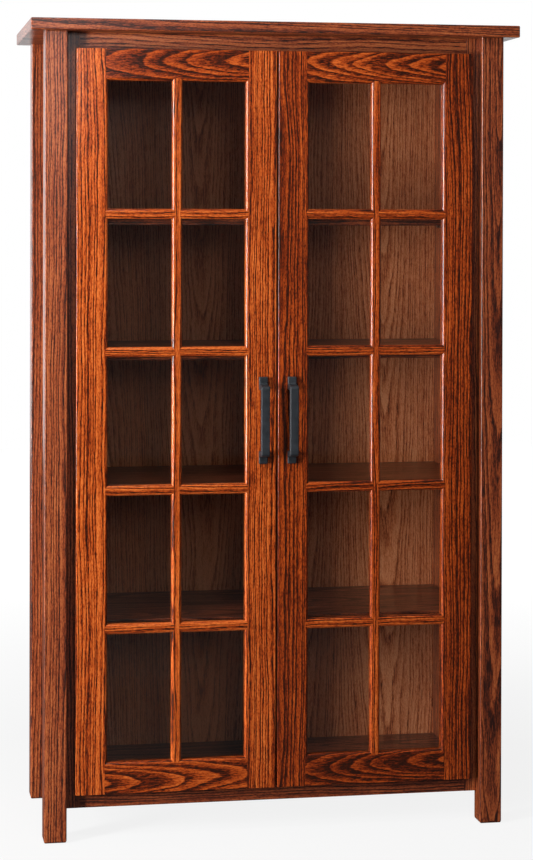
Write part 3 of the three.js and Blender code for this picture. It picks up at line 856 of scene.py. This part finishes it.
def glass_beads(word, side):
    """The four beads of a door: two level ones, and two upright ones that fit between them."""
    door = DOORS[word]
    tone = DOOR_CUTS_AND_SHADE[word]["muntins"]
    solids = []
    for edge, toward in zip(door.sight, (1, -1)):
        strip = bead(door, edge, toward, (Z, Y, X), door.flats)
        solids.append((strip, in_log(strip[0], f"{word} bead {toward}", X, Y, "rift", tone)))
    height = (door.sight[0] - BEAD_REVEAL, door.sight[1] + BEAD_REVEAL)
    for edge, toward in ((door.meeting[1], side), (door.hinge[0], -side)):
        strip = bead(door, edge, toward, (X, Y, Z), height)
        solids.append((strip, in_log(strip[0], f"{word} bead {toward} up", Z, Y, "rift", tone)))
    oak_piece(f"door_{word}_glass_beads", solids, OAK_DOOR, f"{word}_door", [])


# %% [markdown]
# Both doors are made the same way. Their hinge sides are mirror images, because every step is
# taken from the middle of the case outwards.

# %% Both doors
for word, side in SIDES.items():
    stiles_and_rails(word, side)
    glazing_bars(word)
    glass_beads(word, side)
print("doors made")

# %% [markdown]
# ## Glass
#
# The panes are clear float glass, and light passes straight through a flat sheet, so no
# refraction is needed: a transparent shader with a mirror over it looks the same and lets
# the lamps through to the shelves. The mirror's share follows Schlick's rule, 4% face on and
# rising with the fifth power towards grazing.

# %% Float glass
def float_glass():
    """Clear float glass, fire-polished; a trace of dust and wiping softens its mirror."""
    material, tree = new_material("float glass, clear")
    place = add(tree, "ShaderNodeTexCoord").outputs["Object"]
    wiping = add(tree, "ShaderNodeTexNoise",
                 {"Vector": place, "Scale": 7.0, "Detail": 4.0, "Roughness": 0.6})
    haze = add(tree, "ShaderNodeMapRange", {
        "Value": wiping.outputs["Fac"], "From Min": 0.35, "From Max": 0.75, "To Min": 0.01,
        "To Max": 0.06})
    edge_on = add(tree, "ShaderNodeLayerWeight", {"Blend": 0.5}).outputs["Facing"]
    fifth = add(tree, "ShaderNodeMath", {0: edge_on, 1: 5.0}, operation="POWER")
    share = add(tree, "ShaderNodeMath", {0: fifth.outputs[0], 1: 0.96, 2: 0.04},
                operation="MULTIPLY_ADD")
    clear = add(tree, "ShaderNodeBsdfTransparent", {"Color": colour("#FAFCFB")})
    mirror = add(tree, "ShaderNodeBsdfGlossy",
                 {"Color": colour("#FFFFFF"), "Roughness": haze.outputs["Result"]})
    mixed = add(tree, "ShaderNodeMixShader", {
        "Fac": share.outputs[0], 1: clear.outputs[0], 2: mirror.outputs[0]})
    add(tree, "ShaderNodeOutputMaterial", {"Surface": mixed.outputs[0]})
    return material


def refinish(node, material):
    """Gives a CAD node this material in every slot."""
    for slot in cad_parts[node].material_slots:
        slot.material = material


FLOAT_GLASS = float_glass()
for word in SIDES:
    refinish(f"door_{word}_glass", FLOAT_GLASS)
print("glass:", FLOAT_GLASS.name)

# %% [markdown]
# ## Pulls
#
# Each pull is one casting: a foot pad at each end, a neck that steps out from it, and a flat
# grip bar. Seen from the side it is a right-angled outline whose corners are well rounded,
# inside and out, so the same outline function draws it, carried across its width.
#
# The finish is black powder coat: sprayed as dry powder and baked, it leaves a matt skin with a
# very fine orange-peel, a little worn in scattered patches.

# %% Pull shape and powder coat
PULL = {"foot": 18 * MM, "pad": 8 * MM, "bar": 11 * MM, "edge": 2.0 * MM}


def powder_coat():
    """Cast zinc, powder coated matt black: soft sheen, fine peel, patches rubbed smoother."""
    material, tree = new_material("cast zinc, black powder coat")
    place = add(tree, "ShaderNodeTexCoord").outputs["Object"]
    # The peel is about 0.4 mm; it is drawn at 0.9 mm so that it shows.
    peel = add(tree, "ShaderNodeTexNoise", {"Vector": place, "Scale": 1 / (0.9 * MM),
                                            "Detail": 2.0, "Roughness": 0.5})
    rubbed = add(tree, "ShaderNodeTexNoise", {"Vector": place, "Scale": 60.0, "Detail": 3.0})
    tint = add(tree, "ShaderNodeValToRGB", {"Fac": rubbed.outputs["Fac"]}, stops=[
        (0.30, "#1B1E22"), (0.55, "#23272C"), (0.78, "#2C3036")])
    sheen = add(tree, "ShaderNodeMapRange", {
        "Value": rubbed.outputs["Fac"], "From Min": 0.3, "From Max": 0.7, "To Min": 0.46,
        "To Max": 0.60})
    relief = add(tree, "ShaderNodeBump", {
        "Height": peel.outputs["Fac"], "Strength": 0.35, "Distance": 0.15 * MM})
    shader = add(tree, "ShaderNodeBsdfPrincipled", {
        "Base Color": tint.outputs["Color"], "Roughness": sheen.outputs["Result"],
        "Normal": relief.outputs["Normal"]})
    add(tree, "ShaderNodeOutputMaterial", {"Surface": shader.outputs["BSDF"]})
    return material


POWDER_COAT = powder_coat()
for word in SIDES:
    node = f"door_{word}_pull"
    low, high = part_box(node)
    middle = (low[Z] + high[Z]) / 2
    end = (high[Z] - low[Z]) / 2
    bar_end = end - PULL["foot"]
    neck = bar_end - PULL["bar"]
    seat, tip = high[Y], low[Y]
    pad, grip = seat - PULL["pad"], tip + PULL["bar"]
    # Each corner is its depth, its height from the middle and its radius in millimetres.
    half = [[seat, end, 0.4], [pad, end, 3.0], [pad, bar_end, 5.0], [tip, bar_end, 8.5]]
    inner = [[grip, neck, 5.0], [seat, neck, 0.4]]
    turned = [[y, -z, r] for y, z, r in half[::-1]]
    inside = [[y, -z, r] for y, z, r in inner[::-1]]
    loop = np.array(half + turned + inside + inner)
    corners = loop[:, :2] + [0, middle]
    edge = PULL["edge"]
    solid = carried(corners, loop[:, 2] * MM, (Y, Z, X), (low[X], high[X]), (edge, edge), steps=8)
    mesh = bpy.data.meshes.new(f"{node}_casting")
    mesh.from_pydata(solid[0].tolist(), [], solid[1])
    finish_piece(f"{node}_casting", mesh, POWDER_COAT, f"{word}_door", [node])
print("pulls made")

# %% [markdown]
# ## Hinges and shelf pins
#
# Both are small steel parts with a bright nickel plate. They keep their CAD shapes and get a
# metal with fine wiping marks: a metal's colour is its reflection, and the marks are small
# changes of roughness.

# %% Nickel plate
def nickel_plate():
    """Pressed steel, nickel plated: warm grey mirror, softened by fine rub marks."""
    material, tree = new_material("pressed steel, nickel plated")
    place = add(tree, "ShaderNodeTexCoord").outputs["Object"]
    rubs = add(tree, "ShaderNodeTexNoise", {"Vector": place, "Scale": 420.0, "Detail": 4.0})
    tint = add(tree, "ShaderNodeValToRGB", {"Fac": rubs.outputs["Fac"]}, stops=[
        (0.30, "#A9A59C"), (0.70, "#C4C0B8")])
    dull = add(tree, "ShaderNodeMapRange", {
        "Value": rubs.outputs["Fac"], "From Min": 0.3, "From Max": 0.7, "To Min": 0.22,
        "To Max": 0.38})
    relief = add(tree, "ShaderNodeBump", {
        "Height": rubs.outputs["Fac"], "Strength": 0.15, "Distance": 0.05 * MM})
    shader = add(tree, "ShaderNodeBsdfPrincipled", {
        "Base Color": tint.outputs["Color"], "Metallic": 1.0,
        "Roughness": dull.outputs["Result"], "Normal": relief.outputs["Normal"]})
    add(tree, "ShaderNodeOutputMaterial", {"Surface": shader.outputs["BSDF"]})
    return material


NICKEL = nickel_plate()
steel_nodes = [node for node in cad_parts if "hinge_cup" in node or "hinge_plate" in node
               or "shelf_pin" in node]
for node in steel_nodes:
    refinish(node, NICKEL)
print("nickel plated parts:", len(steel_nodes))

# %% [markdown]
# ## Floor, light and background
#
# A white room: the floor and the world look white to the camera. The floor is plain pale
# paint; a little light added for camera rays only brings it up to white where nothing
# shades it, so the shadow of the piece stays. The world is bright behind the piece and dim
# in front, like a white sweep in a dark studio, so the glass doesn't fog over.
#
# Most of the light comes from a tall strip softbox at the left, set so low that it reaches
# under every shelf. A small one near the camera fills the front, and one high in front
# lights the top.

# %% Floor
FLOOR_REACH = 7.0
# The floor lies a hair under the feet, so that no two faces share a plane.
FLOOR_DROP = 0.3 * MM
floor_mesh = bpy.data.meshes.new("floor")
corners = rectangle((-FLOOR_REACH, -FLOOR_REACH), (FLOOR_REACH, FLOOR_REACH))
floor_mesh.from_pydata([(*corner, -FLOOR_DROP) for corner in corners], [], [(0, 1, 2, 3)])
floor = bpy.data.objects.new("floor", floor_mesh)
bpy.context.scene.collection.objects.link(floor)
paint, tree = new_material("pale floor paint")
sight = add(tree, "ShaderNodeLightPath").outputs["Is Camera Ray"]
place = add(tree, "ShaderNodeTexCoord").outputs["Object"]
away = add(tree, "ShaderNodeVectorMath", {0: place}, operation="LENGTH")
rise = add(tree, "ShaderNodeMapRange", {
    "Value": away.outputs["Value"], "From Min": 0.9, "From Max": 3.0, "To Min": 0.86,
    "To Max": 1.0})
lift = add(tree, "ShaderNodeMath", {0: sight, 1: rise.outputs["Result"]}, operation="MULTIPLY")
matt = add(tree, "ShaderNodeBsdfDiffuse", {"Color": colour("#545454")})
glow = add(tree, "ShaderNodeEmission", {"Strength": lift.outputs[0]})
both = add(tree, "ShaderNodeAddShader", {0: matt.outputs[0], 1: glow.outputs[0]})
add(tree, "ShaderNodeOutputMaterial", {"Surface": both.outputs[0]})
floor_mesh.materials.append(paint)
print("floor laid")

# %% World and lamps
world = bpy.data.worlds.new("white sweep")
bpy.context.scene.world = world
world.use_nodes = True
tree = world.node_tree
tree.nodes.clear()
direction = add(tree, "ShaderNodeTexCoord").outputs["Generated"]
parts = add(tree, "ShaderNodeSeparateXYZ", {0: direction})
# Mirrors see it bright towards the back and dim in front; the camera sees it white.
toward_back = add(tree, "ShaderNodeMapRange", {
    "Value": parts.outputs["Y"], "From Min": -0.35, "From Max": 0.75, "To Min": 0.05,
    "To Max": 1.0})
path = add(tree, "ShaderNodeLightPath")
seen = add(tree, "ShaderNodeMath", {0: path.outputs["Is Camera Ray"],
                                    1: path.outputs["Is Transmission Ray"]}, operation="MAXIMUM")
even = add(tree, "ShaderNodeMix", {0: path.outputs["Is Glossy Ray"], 2: 0.12,
                                   3: toward_back.outputs["Result"]})
strength = add(tree, "ShaderNodeMix", {0: seen.outputs[0], 2: even.outputs[0], 3: 1.0})
sky = add(tree, "ShaderNodeBackground", {"Color": colour("#FFFFFF"),
                                         "Strength": strength.outputs[0]})
add(tree, "ShaderNodeOutputWorld", {"Surface": sky.outputs[0]})


def softbox(name, place, target, size, power):
    """A rectangular area lamp at a place, turned to face the target."""
    lamp = bpy.data.lights.new(name, "AREA")
    lamp.shape = "RECTANGLE"
    lamp.size, lamp.size_y = size
    lamp.energy = power
    stand = bpy.data.objects.new(name, lamp)
    stand.location = place
    stand.rotation_euler = (Vector(target) - Vector(place)).to_track_quat("-Z", "Y").to_euler()
    bpy.context.scene.collection.objects.link(stand)


softbox("side softbox", (-3.5, -1.75, 1.25), (0, 0, 1.2), (0.5, 1.9), 260)
softbox("front softbox", (-0.35, -4.9, 2.4), (-0.3, 0, 1.5), (0.7, 1.2), 13)
softbox("high softbox", (-0.8, -1.5, 3.2), (-0.2, 0, 1.2), (1.6, 0.4), 30)
print("lamps:", [item.name for item in bpy.data.lights])

# %% [markdown]
# ## Camera
#
# The camera stands in front and a little to the left, at chest height, and looks almost
# level, so upright edges stay upright. The lens is shifted instead of tilting the camera, as
# is done for buildings. The shift is a share of the picture's longer side.

# %% Camera
LENS = 79.8
SHIFT = (0.13547, -0.22674)
STAND = (-0.9262, -4.3732, 1.3811)
# Radians: how far the camera looks down, to the right, and leans anticlockwise.
DOWN, RIGHT, LEAN = 0.0073, 0.1499, 0.0020
camera_data = bpy.data.cameras.new("camera")
camera_data.sensor_width = 36.0
camera_data.lens = LENS
camera_data.shift_x, camera_data.shift_y = SHIFT
camera = bpy.data.objects.new("camera", camera_data)
camera.location = STAND
aim = Euler((pi / 2 - DOWN, 0, -RIGHT)).to_matrix()
camera.rotation_euler = (aim @ Matrix.Rotation(LEAN, 3, "Z")).to_euler()
bpy.context.scene.collection.objects.link(camera)
bpy.context.scene.camera = camera
print("lens", round(camera_data.lens, 1), "mm, shift", round(camera_data.shift_x, 3),
      round(camera_data.shift_y, 3))

# %% The view transform
bpy.context.scene.view_settings.view_transform = "Standard"
